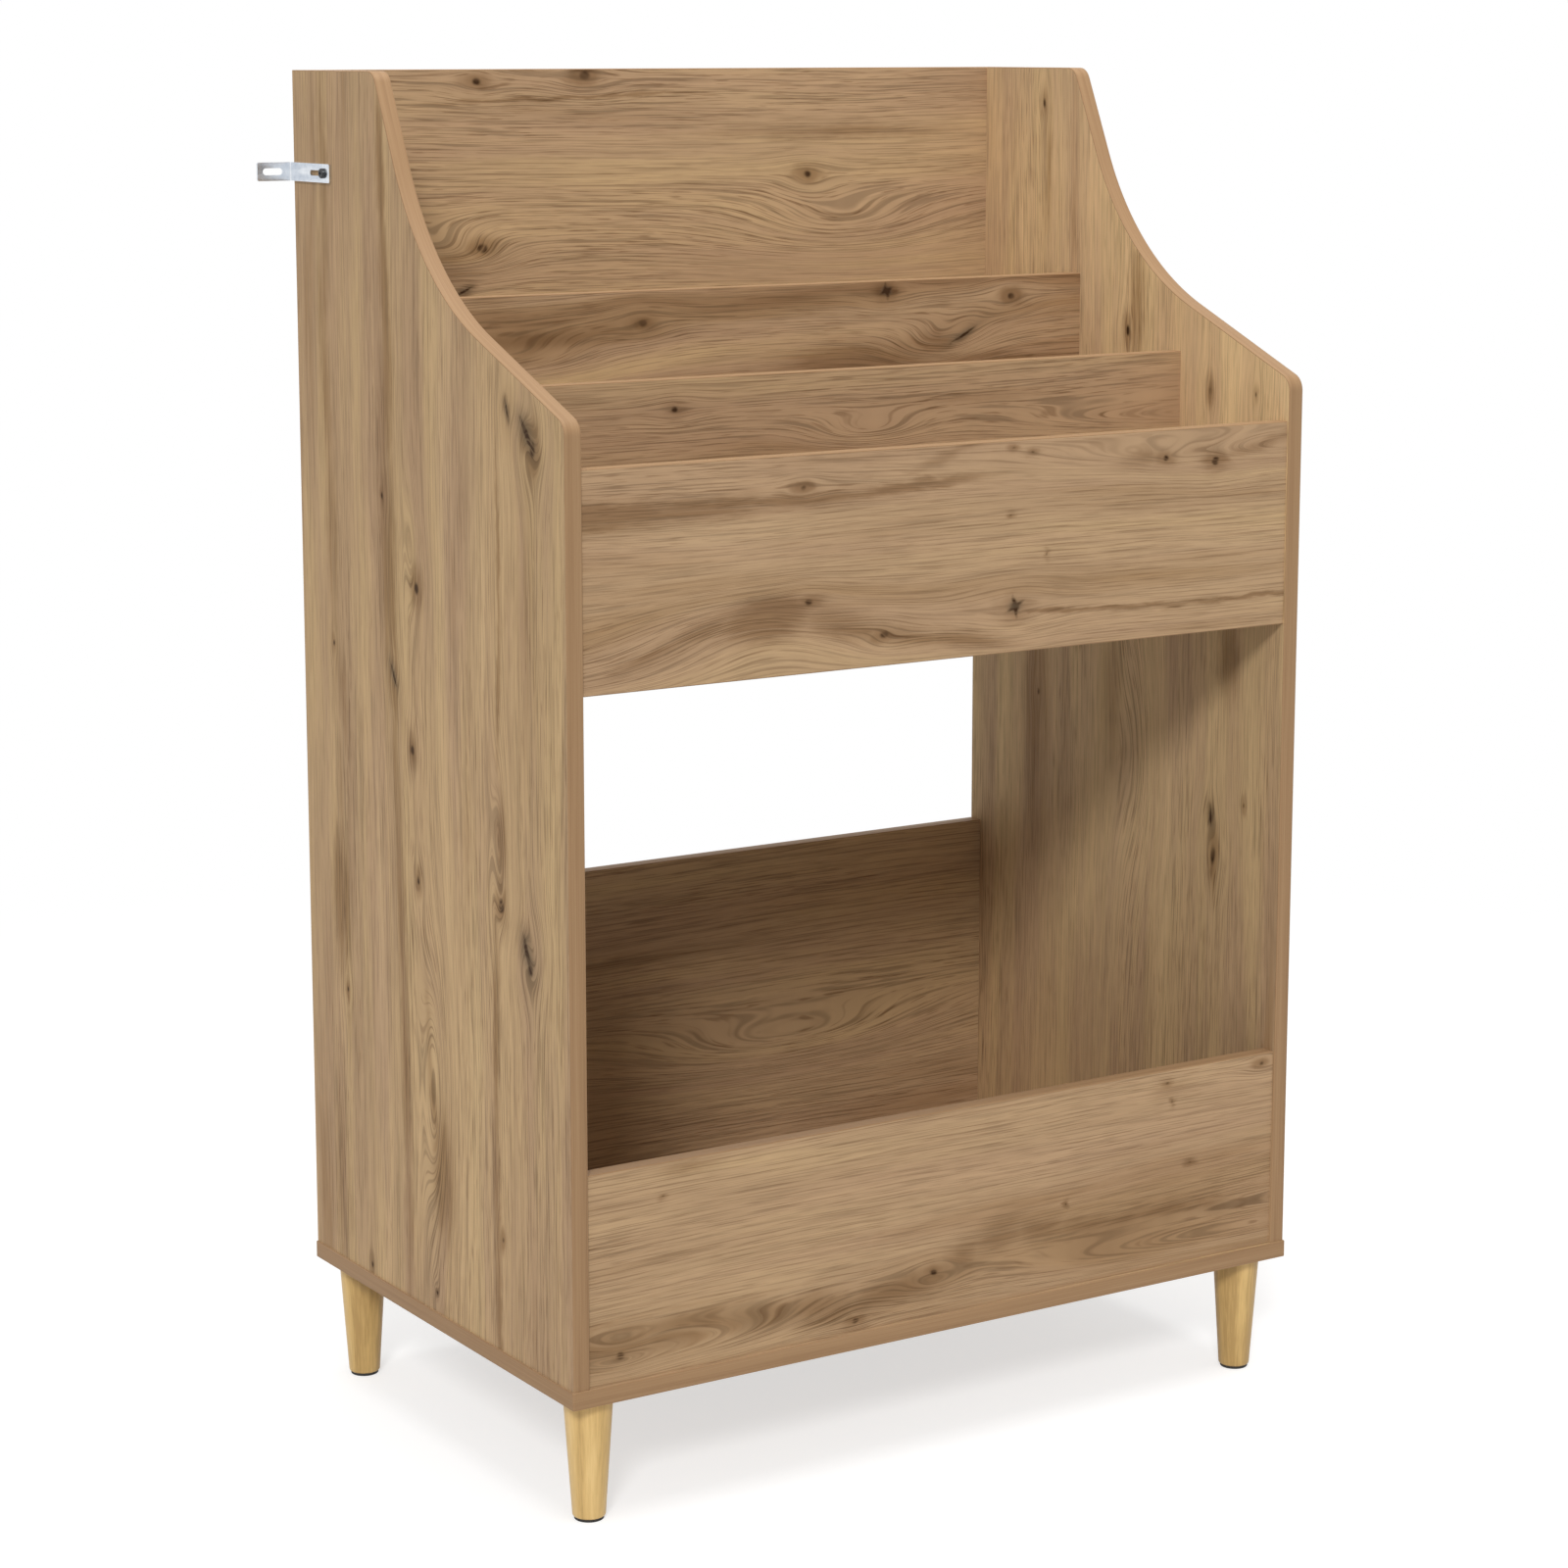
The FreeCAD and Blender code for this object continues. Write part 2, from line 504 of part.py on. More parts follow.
def main():
    boards = cross_boards()
    make_sides()
    make_base()
    for board in boards.values():
        make_cross_board(board)
        join_cross_board(board)
    bins = (
        ("front_bin_floor", "upper_front_panel", "middle_divider"),
        ("middle_bin_floor", "middle_divider", "rear_divider"),
        ("rear_bin_floor", "rear_divider", "upper_back_panel"),
    )
    for name, front_name, back_name in bins:
        make_bin_floor(name, boards[front_name], boards[back_name])
    join_base([boards["lower_front_panel"], boards["lower_back_panel"]])
    make_base_screws()
    make_legs()
    make_brackets()
    shapes["dowels"] = Part.makeCompound(dowels)
    shapes["cam_bolts"] = Part.makeCompound(cam_bolts)
    shapes["cam_locks"] = Part.makeCompound(cam_locks)
    for node, holes in cutters.items():
        shapes[node] = shapes[node].cut(holes)
    os.makedirs("parts", exist_ok=True)
    for node, shape in shapes.items():
        shape.exportStep("parts/" + node + ".step")


main()
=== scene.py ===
# Looks of the media shelf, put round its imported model. Metres, in the part's own frame.
import bmesh
import bpy
import math
from collections import namedtuple
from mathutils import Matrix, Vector


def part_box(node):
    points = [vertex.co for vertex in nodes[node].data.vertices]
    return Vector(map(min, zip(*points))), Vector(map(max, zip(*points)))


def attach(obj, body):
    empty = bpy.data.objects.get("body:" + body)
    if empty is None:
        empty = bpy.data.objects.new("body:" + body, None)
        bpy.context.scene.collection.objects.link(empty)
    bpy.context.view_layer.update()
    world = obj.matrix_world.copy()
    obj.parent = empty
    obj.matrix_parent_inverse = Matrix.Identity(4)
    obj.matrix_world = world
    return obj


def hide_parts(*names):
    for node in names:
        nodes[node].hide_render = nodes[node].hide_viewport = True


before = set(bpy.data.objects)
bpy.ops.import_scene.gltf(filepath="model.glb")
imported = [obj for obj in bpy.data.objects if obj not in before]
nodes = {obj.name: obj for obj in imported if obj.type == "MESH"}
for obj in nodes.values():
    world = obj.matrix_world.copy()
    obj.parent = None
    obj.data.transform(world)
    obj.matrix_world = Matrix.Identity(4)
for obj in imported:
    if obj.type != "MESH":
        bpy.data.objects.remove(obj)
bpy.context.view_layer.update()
MM = 0.001
WHITE = (1.0, 1.0, 1.0, 1.0)

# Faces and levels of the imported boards
LEFT_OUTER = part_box("left_side_panel")[0].x
LEFT_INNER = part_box("left_side_panel")[1].x
RIGHT_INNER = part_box("right_side_panel")[0].x
RIGHT_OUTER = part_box("right_side_panel")[1].x
SIDE_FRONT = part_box("left_side_edge_band")[0].y
SIDE_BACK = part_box("left_side_panel")[1].y
SIDE_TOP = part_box("left_side_edge_band")[1].z
BASE_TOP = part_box("base_board")[1].z

# Swept outline of the sides, as in the part's source
FLAT_TOP_DEPTH = 155 * MM
SWEEP_RUN = 80 * MM
FRONT_CORNER = 910.5 * MM
SWEEP_RISE = 96 * MM
SWEEP_RADIUS = 260 * MM
CORNER_RADIUS = 15 * MM

# Edge bands
BAND = 0.8 * MM             # thickness of a band
BAND_ROUND = 0.7 * MM       # rounding of its outer arrises
ROUND_STEPS = 4
CORNER_STEPS = 14
SWEEP_STEPS = 40
BASE_CORNER_RADIUS = 1.5 * MM
SHARP_ANGLE = math.radians(40)

# Legs and foot pads
FOOT_RADIUS = 14 * MM       # of a leg at its lower end
FOOT_ROUND = 2 * MM
LEG_TOP_ROUND = 0.8 * MM
LEG_ROUND_STEPS = 6
LEG_SEGMENTS = 72
PAD_LOW_ROUND = 0.7 * MM
PAD_TOP_ROUND = 0.3 * MM
PAD_ROUND_STEPS = 4
PAD_SEGMENTS = 48
# Lightness of each leg's pine: the darker legs carry painted shade for the shade that falls on them
LEG_LIGHTNESS_WITH_PAINTED_SHADE = {"front_left": 0.52, "front_right": 0.2, "rear_left": 0.26, "rear_right": 0.38}

# Camera
CAMERA_PLACE = (-1.8141, -2.8100, 1.2041)
CAMERA_AZIMUTH = math.radians(32.60)
CAMERA_PITCH = math.radians(10.04)
CAMERA_LENS = 87.33
CAMERA_SENSOR = 36
CAMERA_SHIFT = -0.045

# Light
AMBIENT = 0.415             # strength of the world's light on the object
OVERHEAD_PLACE = (0, -0.3, 3.4)
OVERHEAD_TARGET = (0, 0, 0.8)
OVERHEAD_SIZE = 2.4
OVERHEAD_WATTS = 66
KEY_STRENGTH = 1.53
KEY_ANGLE = 0.2
KEY_DIRECTION = (0.8, 1.0, -0.86)

# Floor
FLOOR_REACH = 30.0
FLOOR_NEAR = 0.9            # it fades to plain white between these distances
FLOOR_FAR = 2.2
FLOOR_GLOW = 0.62
FLOOR_COLOUR = (0.8, 0.8, 0.8, 1.0)
FLOOR_SEEN_COLOUR = (0.5, 0.5, 0.5, 1.0)

# Colour sockets of a mix node, which has others for numbers and vectors
MIX_FIRST = 6
MIX_SECOND = 7
MIX_RESULT = 2


def colour(red, green, blue):
    """Linear colour, with alpha, from a display colour of 0 to 255."""
    linear = []
    for part in (red, green, blue):
        share = part / 255
        linear.append(share / 12.92 if share <= 0.04045 else ((share + 0.055) / 1.055) ** 2.4)
    return (*linear, 1.0)


class NodeSheet:
    """Short calls that add nodes to one material or world."""

    def __init__(self, owner):
        owner.use_nodes = True
        self.owner = owner
        self.tree = owner.node_tree
        self.shader = self.tree.nodes.get("Principled BSDF")

    def feed(self, socket, value):
        """Link a socket to the value where that is a socket too, or else set it."""
        if isinstance(value, bpy.types.NodeSocket):
            self.tree.links.new(value, socket)
        else:
            socket.default_value = value

    def add(self, kind, *values, **settings):
        node = self.tree.nodes.new("ShaderNode" + kind)
        for key, setting in settings.items():
            setattr(node, key, setting)
        for socket, value in zip(node.inputs, values):
            self.feed(socket, value)
        return node

    def math(self, operation, *values):
        return self.add("Math", *values, operation=operation).outputs[0]

    def total(self, first, *others):
        for value in others:
            first = self.math("ADD", first, value)
        return first

    def product(self, first, *others):
        for value in others:
            first = self.math("MULTIPLY", first, value)
        return first

    def line(self, value, gain, base):
        """Value times gain, plus base."""
        return self.math("MULTIPLY_ADD", value, gain, base)

    def swing(self, value, gain):
        """A noise about zero, times gain."""
        return self.line(value, gain, -gain / 2)

    def larger(self, first, second):
        """The larger of two values, or the second where there is no first."""
        return second if first is None else self.math("MAXIMUM", first, second)

    def step(self, value, low, high):
        """Smooth step from 0 at low to 1 at high."""
        node = self.add("MapRange", value, low, high, interpolation_type="SMOOTHSTEP")
        return node.outputs["Result"]

    def vector(self, operation, *values):
        node = self.add("VectorMath", *values, operation=operation)
        return node.outputs["Value" if operation in ("DOT_PRODUCT", "LENGTH") else "Vector"]

    def dimmed(self, shade, gain):
        """Shade times a gain that varies over the surface."""
        node = self.add("VectorMath", shade, operation="SCALE")
        self.feed(node.inputs["Scale"], gain)
        return node.outputs["Vector"]

    def object_place(self):
        return self.add("TexCoord").outputs["Object"]

    def noise(self, place, cycles, detail, roughness=0.5, output="Fac"):
        """Noise with so many cycles per metre along each axis of place."""
        node = self.add("TexNoise", self.vector("MULTIPLY", place, cycles))
        node.inputs["Scale"].default_value = 1.0
        node.inputs["Detail"].default_value = detail
        node.inputs["Roughness"].default_value = roughness
        return node.outputs[output]

    def ramp(self, value, stops):
        node = self.add("ValToRGB", value)
        elements = node.color_ramp.elements
        for index, (place, shade) in enumerate(stops):
            if index < 2:
                elements[index].position = place
            else:
                elements.new(place)
            elements[index].color = shade
        return node.outputs["Color"]

    def mix(self, share, first, second, blend="MIX"):
        node = self.add("Mix", data_type="RGBA", blend_type=blend)
        self.feed(node.inputs["Factor"], share)
        self.feed(node.inputs[MIX_FIRST], first)
        self.feed(node.inputs[MIX_SECOND], second)
        return node.outputs[MIX_RESULT]

    def tinted(self, shade, share, tint, blend="MIX"):
        """Shade mixed with a tint where share says, or as it is where there is no share."""
        return shade if share is None else self.mix(share, shade, tint, blend)

    def bump(self, height, strength, distance):
        node = self.add("Bump")
        node.inputs["Strength"].default_value = strength
        node.inputs["Distance"].default_value = distance
        self.feed(node.inputs["Height"], height)
        self.set("Normal", node.outputs["Normal"])

    def set(self, name, value):
        """Set or link one socket of the material's shader."""
        self.feed(self.shader.inputs[name], value)


def new_sheet(name):
    """Node sheet of a new material."""
    return NodeSheet(bpy.data.materials.new(name))


# A mark changes the wood round one place of a board: centre and size run along, across and through.
Mark = namedtuple("Mark", "kind centre size tilt strength")
FACE_DEPTH = 5 * MM
RIBBON_SHARE = 0.95         # length of a ribbon's streaks, as a share of its runs


def mark(kind, face, along, across, length, width, strength, tilt=0.0):
    """One mark on the face at the depth face; places and sizes are in millimetres."""
    return Mark(kind, (along * MM, across * MM, face), (length * MM, width * MM, FACE_DEPTH),
                math.radians(tilt), strength)


def knot(face, along, across, radius, stretch=1.3, halo=1.0):
    """A dark knot with a brown halo and the grain flowing round it."""
    core_strength = min(1.0, 0.45 + radius / 10)
    return [
        mark("spread", face, along, across, length=radius * 7, width=radius * 3.2, strength=0.85),
        mark("stain", face, along, across, length=radius * 3.2 * stretch, width=radius * 2.0,
             strength=0.75 * halo),
        mark("core", face, along, across, length=radius * stretch * 0.8, width=radius * 0.75,
             strength=core_strength),
    ]


def star(face, along, across, radius):
    """A knot that has split crosswise."""
    return knot(face, along, across, radius, stretch=1.0) + [
        mark("core", face, along, across, length=radius * 1.5, width=radius * 0.35, strength=1.0, tilt=25),
        mark("core", face, along, across, length=radius * 0.4, width=radius * 1.5, strength=1.0, tilt=10),
        mark("grey", face, along, across, length=radius * 0.9, width=radius * 0.7, strength=0.8),
    ]


def crack(face, along, across, length, width, tilt):
    """A dark split in the wood with a greyish stain round it."""
    return [
        mark("spread", face, along, across, length * 1.6, width * 5, strength=0.6, tilt=tilt),
        mark("stain", face, along, across, length * 1.3, width * 3, strength=0.65, tilt=tilt),
        mark("grey", face, along, across, length * 0.9, width * 1.8, strength=0.6, tilt=tilt),
        mark("core", face, along, across, length * 0.8, width * 0.6, strength=1.0, tilt=tilt),
    ]


def streak(face, along, across, length, width, strength, tilt=0.0):
    """A long darker stripe."""
    return [mark("stain", face, along, across, length, width, strength, tilt)]


def ribbon(face, strength, *points):
    """A dark band that winds through (along, across, width) points."""
    marks = []
    for (along, across, width), (next_along, next_across, next_width) in zip(points, points[1:]):
        length = math.hypot(next_along - along, next_across - across) * RIBBON_SHARE
        tilt = math.degrees(math.atan2(next_across - across, next_along - along))
        marks += streak(face, (along + next_along) / 2, (across + next_across) / 2,
                        length, (width + next_width) / 2, strength, tilt)
    return marks


def fleck(face, along, across, length, width):
    """A small brown speck."""
    return [
        mark("stain", face, along, across, length * 2, width * 2, strength=0.6),
        mark("core", face, along, across, length * 0.6, width * 0.6, strength=0.55),
    ]


def pale(face, along, across, length, width, strength):
    """A lighter zone."""
    return [mark("pale", face, along, across, length, width, strength)]


def eye(face, along, across, length, width, lift, tilt=0.0):
    """A swell in the grain that makes nested arches."""
    return [mark("lift", face, along, across, length, width, lift * MM, tilt)]


def joined(*groups):
    """All marks of several groups as one list."""
    marks = []
    for group in groups:
        marks.extend(group)
    return marks


# Axes along, across and through the grain for each lay of a board
AXES = {"upright": ("Z", "Y", "X"), "level": ("X", "Z", "Y"), "lying": ("X", "Y", "Z")}
# Strength of the growth lines everywhere, and what some zones add
RINGS_SHOWN = {"upright": (0.0, 0.4), "level": (0.45, 0.45), "lying": (0.2, 0.4)}
RINGS_PER_METRE = 200.0
RING_SHARPNESS = 2.5
RING_SHARE = 0.55

# Sway of the grain: cycles per metre along, across and through it, and reach
SWAYS = {
    "ripple": ((34.0, 80.0, 60.0), 0.3 * MM),
    "wander": ((1.2, 4.5, 60.0), 32 * MM),
    "waves": ((7.0, 18.0, 60.0), 3 * MM),
}
# Noises that follow the grain: cycles per metre along, across and through it, detail and roughness
LAYERS = {
    "broad": ((0.9, 9.0, 90.0), 1.0, 0.5),
    "stripe": ((2.2, 24.0, 120.0), 1.0, 0.5),
    "band": ((4.5, 62.0, 160.0), 2.0, 0.55),
    "line": ((13.0, 760.0, 160.0), 1.0, 0.6),
    "thread": ((7.0, 300.0, 160.0), 1.0, 0.6),
    "dash": ((32.0, 900.0, 160.0), 1.0, 0.5),
    "coarse": ((2.0, 15.0, 90.0), 1.0, 0.5),
    "mottle": ((45.0, 150.0, 160.0), 2.0, 0.5),
    "blush": ((1.1, 26.0, 90.0), 1.0, 0.5),
    "shake": ((3.0, 30.0, 90.0), 2.0, 0.5),
    "zone": ((1.4, 8.0, 90.0), 1.0, 0.5),
}
# What the broad noises add to the tone
TONE_SHARES = {"broad": 0.7, "stripe": 0.75, "band": 0.55}
# Ragged edges of the marks, and the share of them that cores and grey wood keep
RAGGED_CYCLES = (45.0, 160.0, 0.0)
RAGGED_REACH = (18 * MM, 9 * MM, 0.0)
CHIPPED_SHARE = (0.45, 0.45, 0.0)
# What pores and lines add to the height of the surface
PORE_HEIGHT = 0.6
LINE_HEIGHT = 0.4

# Colours of the oak decor; those without colour() multiply the shade below them
OAK_STOPS = (
    (0.0, colour(126, 95, 66)),
    (0.28, colour(155, 125, 92)),
    (0.45, colour(168, 139, 107)),
    (0.6, colour(175, 146, 112)),
    (0.8, colour(184, 155, 116)),
    (1.0, colour(191, 162, 121)),
)
OAK_BLUSH = (0.99, 0.975, 1.0, 1.0)
OAK_LINE = colour(116, 86, 59)
OAK_STAIN = (0.6, 0.54, 0.48, 1.0)
OAK_PALE = (1.29, 1.36, 1.4, 1.0)
OAK_GREY = colour(92, 82, 66)
OAK_CORE = colour(62, 42, 26)


def local_reach(sheet, place, one):
    """A place in a mark's own axes, and how strongly the mark reaches it."""
    if one.tilt:
        local = sheet.add("Mapping", place, one.centre, (0, 0, one.tilt), one.size, vector_type="TEXTURE")
        local = local.outputs["Vector"]
    else:
        gain = [1 / part for part in one.size]
        shift = [-part * scale for part, scale in zip(one.centre, gain)]
        local = sheet.vector("MULTIPLY_ADD", place, gain, shift)
    far = sheet.vector("DOT_PRODUCT", local, local)
    return local, sheet.math("EXPONENT", sheet.math("MULTIPLY", far, -1.0))


def combined_reach(sheet, place, marks, kind):
    """Strongest reach of all marks of one kind, or None without such marks."""
    share = None
    for one in marks:
        if one.kind == kind:
            reach = local_reach(sheet, place, one)[1]
            share = sheet.larger(share, sheet.math("MULTIPLY", reach, one.strength))
    return share


def bent_grain(sheet, place, across, marks):
    """Place across the grain after its sway and the marks bend it, and where marks bend it."""
    grain = across
    for cycles, reach in SWAYS.values():
        grain = sheet.total(grain, sheet.swing(sheet.noise(place, cycles, detail=1.0), gain=reach))
    figured = None
    for one in marks:
        if one.kind not in ("lift", "spread"):
            continue
        local, reach = local_reach(sheet, place, one)
        push = one.strength
        if one.kind == "spread":
            sideways = sheet.add("SeparateXYZ", local).outputs["Y"]
            push = sheet.math("MULTIPLY", sideways, -one.strength * one.size[1])
        grain = sheet.math("MULTIPLY_ADD", reach, push, grain)
        figured = sheet.larger(figured, reach)
    return grain, figured


def plain_wood(sheet, layers, coarse, lightness, figure):
    """Shade of the wood between its lines: broad tones, strands and a faint blush."""
    tones = [sheet.swing(layers[name], gain=share * figure) for name, share in TONE_SHARES.items()]
    shade = sheet.ramp(sheet.total(*tones, lightness), OAK_STOPS)
    strand = sheet.product(
        sheet.step(layers["line"], low=0.5, high=0.64),
        sheet.line(coarse, gain=-0.14, base=-0.2),
    )
    fibre = sheet.total(
        strand,
        sheet.swing(layers["thread"], gain=0.24),
        sheet.line(layers["mottle"], gain=0.16, base=1.01),
    )
    blush = sheet.step(layers["blush"], low=0.42, high=0.6)
    return sheet.mix(blush, sheet.dimmed(shade, fibre), OAK_BLUSH, "MULTIPLY")


def dark_lines(sheet, layers, coarse, grain, figured, lay):
    """How strongly growth lines and pores darken the wood."""
    rings = sheet.line(grain, RINGS_PER_METRE, sheet.swing(layers["shake"], gain=3.0))
    ring = sheet.math("POWER", sheet.math("FRACT", rings), RING_SHARPNESS)
    everywhere, added = RINGS_SHOWN[lay]
    zone = sheet.step(layers["zone"], low=0.42, high=0.62)
    shown = sheet.larger(figured, sheet.line(zone, added, everywhere))
    broken = sheet.step(layers["line"], low=0.35, high=0.62)
    pores = sheet.product(
        sheet.step(layers["dash"], low=0.58, high=0.7),
        sheet.line(coarse, gain=0.3, base=0.2),
    )
    return sheet.total(sheet.product(ring, broken, shown, RING_SHARE), pores)


def marked_wood(sheet, shade, place, wood, layers, marks):
    """Shade with the marks' pale zones, stains, grey wood and dark cores."""
    ragged = sheet.noise(wood, RAGGED_CYCLES, detail=3.0, output="Color")
    shift = sheet.vector("MULTIPLY_ADD", ragged, RAGGED_REACH, [-part / 2 for part in RAGGED_REACH])
    torn = sheet.vector("ADD", place, shift)
    chipped = sheet.vector("MULTIPLY_ADD", shift, CHIPPED_SHARE, place)
    shade = sheet.tinted(shade, combined_reach(sheet, place, marks, "pale"), OAK_PALE, "MULTIPLY")
    stain = combined_reach(sheet, torn, marks, "stain")
    if stain is not None:
        band = sheet.swing(layers["band"], gain=1.4)
        thread = sheet.line(layers["thread"], gain=1.6, base=0.25)
        stain = sheet.step(sheet.product(stain, sheet.total(band, thread)), low=0.06, high=0.85)
    shade = sheet.tinted(shade, stain, OAK_STAIN, "MULTIPLY")
    shade = sheet.tinted(shade, combined_reach(sheet, chipped, marks, "grey"), OAK_GREY)
    core = combined_reach(sheet, chipped, marks, "core")
    if core is not None:
        uneven = sheet.line(layers["dash"], gain=2.2, base=-0.25)
        core = sheet.product(sheet.step(core, low=0.2, high=0.85), uneven)
    return sheet.tinted(shade, core, OAK_CORE)


def oak(name, lay, marks=(), lightness=0.56, figure=0.8):
    """Oak decor with the grain along one axis, bent and darkened by marks."""
    sheet = new_sheet(name)
    parts = sheet.add("SeparateXYZ", sheet.object_place()).outputs
    along, across, through = (parts[axis] for axis in AXES[lay])
    place = sheet.add("CombineXYZ", along, across, through).outputs[0]
    grain, figured = bent_grain(sheet, place, across, marks)
    wood = sheet.add("CombineXYZ", along, grain, through).outputs[0]
    layers = {layer: sheet.noise(wood, *settings) for layer, settings in LAYERS.items()}
    coarse = sheet.step(layers["coarse"], low=0.4, high=0.62)
    shade = plain_wood(sheet, layers, coarse, lightness, figure)
    shade = sheet.mix(dark_lines(sheet, layers, coarse, grain, figured, lay), shade, OAK_LINE)
    sheet.set("Base Color", marked_wood(sheet, shade, place, wood, layers, marks))
    sheet.set("Specular IOR Level", 0.05)
    sheet.set("Roughness", sheet.line(layers["line"], gain=0.2, base=0.42))
    pore_height = sheet.product(layers["dash"], PORE_HEIGHT)
    line_height = sheet.product(layers["line"], LINE_HEIGHT)
    sheet.bump(sheet.total(pore_height, line_height), strength=0.35, distance=0.15 * MM)
    return sheet.owner


def edge_band():
    """Printed band with fine lines along its length, which runs along the first UV axis."""
    sheet = new_sheet("edge_band")
    place = sheet.add("UVMap", uv_map="Grain").outputs["UV"]
    band = sheet.noise(place, cycles=(2.0, 260.0, 1.0), detail=2.0)
    fine = sheet.noise(place, cycles=(9.0, 900.0, 1.0), detail=2.0)
    tone = sheet.total(sheet.swing(band, gain=1.0), sheet.swing(fine, gain=0.9), 0.5)
    stops = ((0.0, colour(138, 107, 77)), (0.5, colour(156, 124, 91)), (1.0, colour(168, 137, 103)))
    sheet.set("Base Color", sheet.ramp(tone, stops))
    sheet.set("Specular IOR Level", 0.12)
    sheet.set("Roughness", sheet.line(fine, gain=0.15, base=0.4))
    sheet.bump(fine, strength=0.2, distance=0.1 * MM)
    return sheet.owner


def pine(name, lightness):
    """Pale turned pine with upright grain."""
    sheet = new_sheet(name)
    place = sheet.object_place()
    warp = sheet.noise(place, cycles=(14.0, 14.0, 6.0), detail=1.0)
    rings = sheet.noise(place, cycles=(70.0, 70.0, 2.5), detail=2.0)
    fine = sheet.noise(place, cycles=(600.0, 600.0, 14.0), detail=3.0)
    tone = sheet.total(
        sheet.swing(rings, gain=1.5),
        sheet.swing(fine, gain=0.8),
        sheet.swing(warp, gain=0.5),
        lightness,
    )
    stops = ((0.0, colour(178, 144, 88)), (0.4, colour(210, 175, 112)), (0.7, colour(222, 188, 126)),
             (1.0, colour(230, 198, 140)))
    sheet.set("Base Color", sheet.ramp(tone, stops))
    sheet.set("Specular IOR Level", 0.4)
    sheet.set("Roughness", sheet.line(fine, gain=0.15, base=0.36))
    sheet.bump(fine, strength=0.2, distance=0.1 * MM)
    return sheet.owner


def zinc():
    """Bright zinc plate with faint rolling marks."""
    sheet = new_sheet("zinc")
    place = sheet.object_place()
    cloud = sheet.noise(place, cycles=(180.0, 180.0, 180.0), detail=3.0, roughness=0.6)
    rolled = sheet.noise(place, cycles=(900.0, 60.0, 900.0), detail=2.0)
    tone = sheet.total(sheet.swing(cloud, gain=0.8), sheet.swing(rolled, gain=0.5), 0.5)
    stops = ((0.2, colour(208, 214, 223)), (0.8, colour(240, 243, 246)))
    sheet.set("Base Color", sheet.ramp(tone, stops))
    sheet.set("Metallic", 1.0)
    sheet.set("Roughness", sheet.line(cloud, gain=0.15, base=0.12))
    sheet.bump(rolled, strength=0.06, distance=0.03 * MM)
    return sheet.owner


def clouded(name, cycles, detail, dark, light):
    """Node sheet of a material with a cloudy shade between two colours, and its noise."""
    sheet = new_sheet(name)
    cloud = sheet.noise(sheet.object_place(), (cycles, cycles, cycles), detail)
    sheet.set("Base Color", sheet.ramp(cloud, ((0.3, dark), (0.8, light))))
    return sheet, cloud


def dark_steel():
    """Black coated steel."""
    sheet, cloud = clouded("dark_steel", cycles=700.0, detail=3.0,
                           dark=colour(20, 20, 22), light=colour(46, 46, 50))
    sheet.set("Roughness", sheet.line(cloud, gain=0.3, base=0.25))
    sheet.bump(cloud, strength=0.15, distance=0.05 * MM)
    return sheet.owner


def pad_plastic():
    """Dull dark plastic of the foot pads."""
    sheet, cloud = clouded("pad_plastic", cycles=1200.0, detail=2.0,
                           dark=colour(24, 22, 20), light=colour(48, 44, 40))
    sheet.set("Roughness", sheet.line(cloud, gain=0.3, base=0.55))
    sheet.bump(cloud, strength=0.3, distance=0.1 * MM)
    return sheet.owner


def beech():
    """Pale dowel wood."""
    sheet, cloud = clouded("beech", cycles=300.0, detail=3.0,
                           dark=colour(196, 160, 116), light=colour(220, 188, 146))
    sheet.set("Roughness", sheet.line(cloud, gain=0.2, base=0.5))
    return sheet.owner


def dress(node, material):
    """Give a CAD node its material."""
    mesh = nodes[node].data
    mesh.materials.clear()
    mesh.materials.append(material)


def new_object(name, data):
    """A new object in the scene."""
    made = bpy.data.objects.new(name, data)
    bpy.context.scene.collection.objects.link(made)
    return made


def new_piece(name, mesh, material, replaced, body="shelf"):
    """A new piece in place of CAD nodes, riding on a body."""
    piece = new_object(name, mesh)
    mesh.materials.append(material)
    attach(piece, body)
    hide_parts(*replaced)


def built_mesh(name, build):
    """Mesh of a finished build, with its hard edges kept sharp."""
    mesh = bpy.data.meshes.new(name)
    build.to_mesh(mesh)
    build.free()
    mesh.set_sharp_from_angle(angle=SHARP_ANGLE)
    return mesh


def arc_points(before, corner, after, radius, steps):
    """Points of the arc that rounds a corner of an outline, with both ends."""
    backward = (before - corner).normalized()
    forward = (after - corner).normalized()
    half_angle = backward.angle(forward) / 2
    bisector = (backward + forward).normalized()
    centre = corner + bisector * (radius / math.sin(half_angle))
    first = corner + backward * (radius / math.tan(half_angle)) - centre
    last = corner + forward * (radius / math.tan(half_angle)) - centre
    axis = first.cross(last).normalized()
    across = axis.cross(first)
    turn = first.angle(last)
    points = []
    for index in range(steps + 1):
        angle = turn * index / steps
        points.append(centre + first * math.cos(angle) + across * math.sin(angle))
    return points


def rounded_path(corners):
    """Points through (corner, radius, steps) entries, rounded where the radius isn't zero."""
    points = []
    for index, (corner, radius, steps) in enumerate(corners):
        if radius:
            points.extend(arc_points(corners[index - 1][0], corner, corners[index + 1][0], radius, steps))
        else:
            points.append(corner)
    return points


def strip_section(width):
    """Section of a band with rounded outer edges: (across, outward) points from its inner side."""
    half = width / 2
    section = [(-half, 0.0)]
    for side in (-1, 1):
        for index in range(ROUND_STEPS + 1):
            angle = math.pi / 2 * (index if side < 0 else ROUND_STEPS - index) / ROUND_STEPS
            across = half - BAND_ROUND + BAND_ROUND * math.cos(angle)
            section.append((side * across, BAND - BAND_ROUND + BAND_ROUND * math.sin(angle)))
    section.append((half, 0.0))
    return section


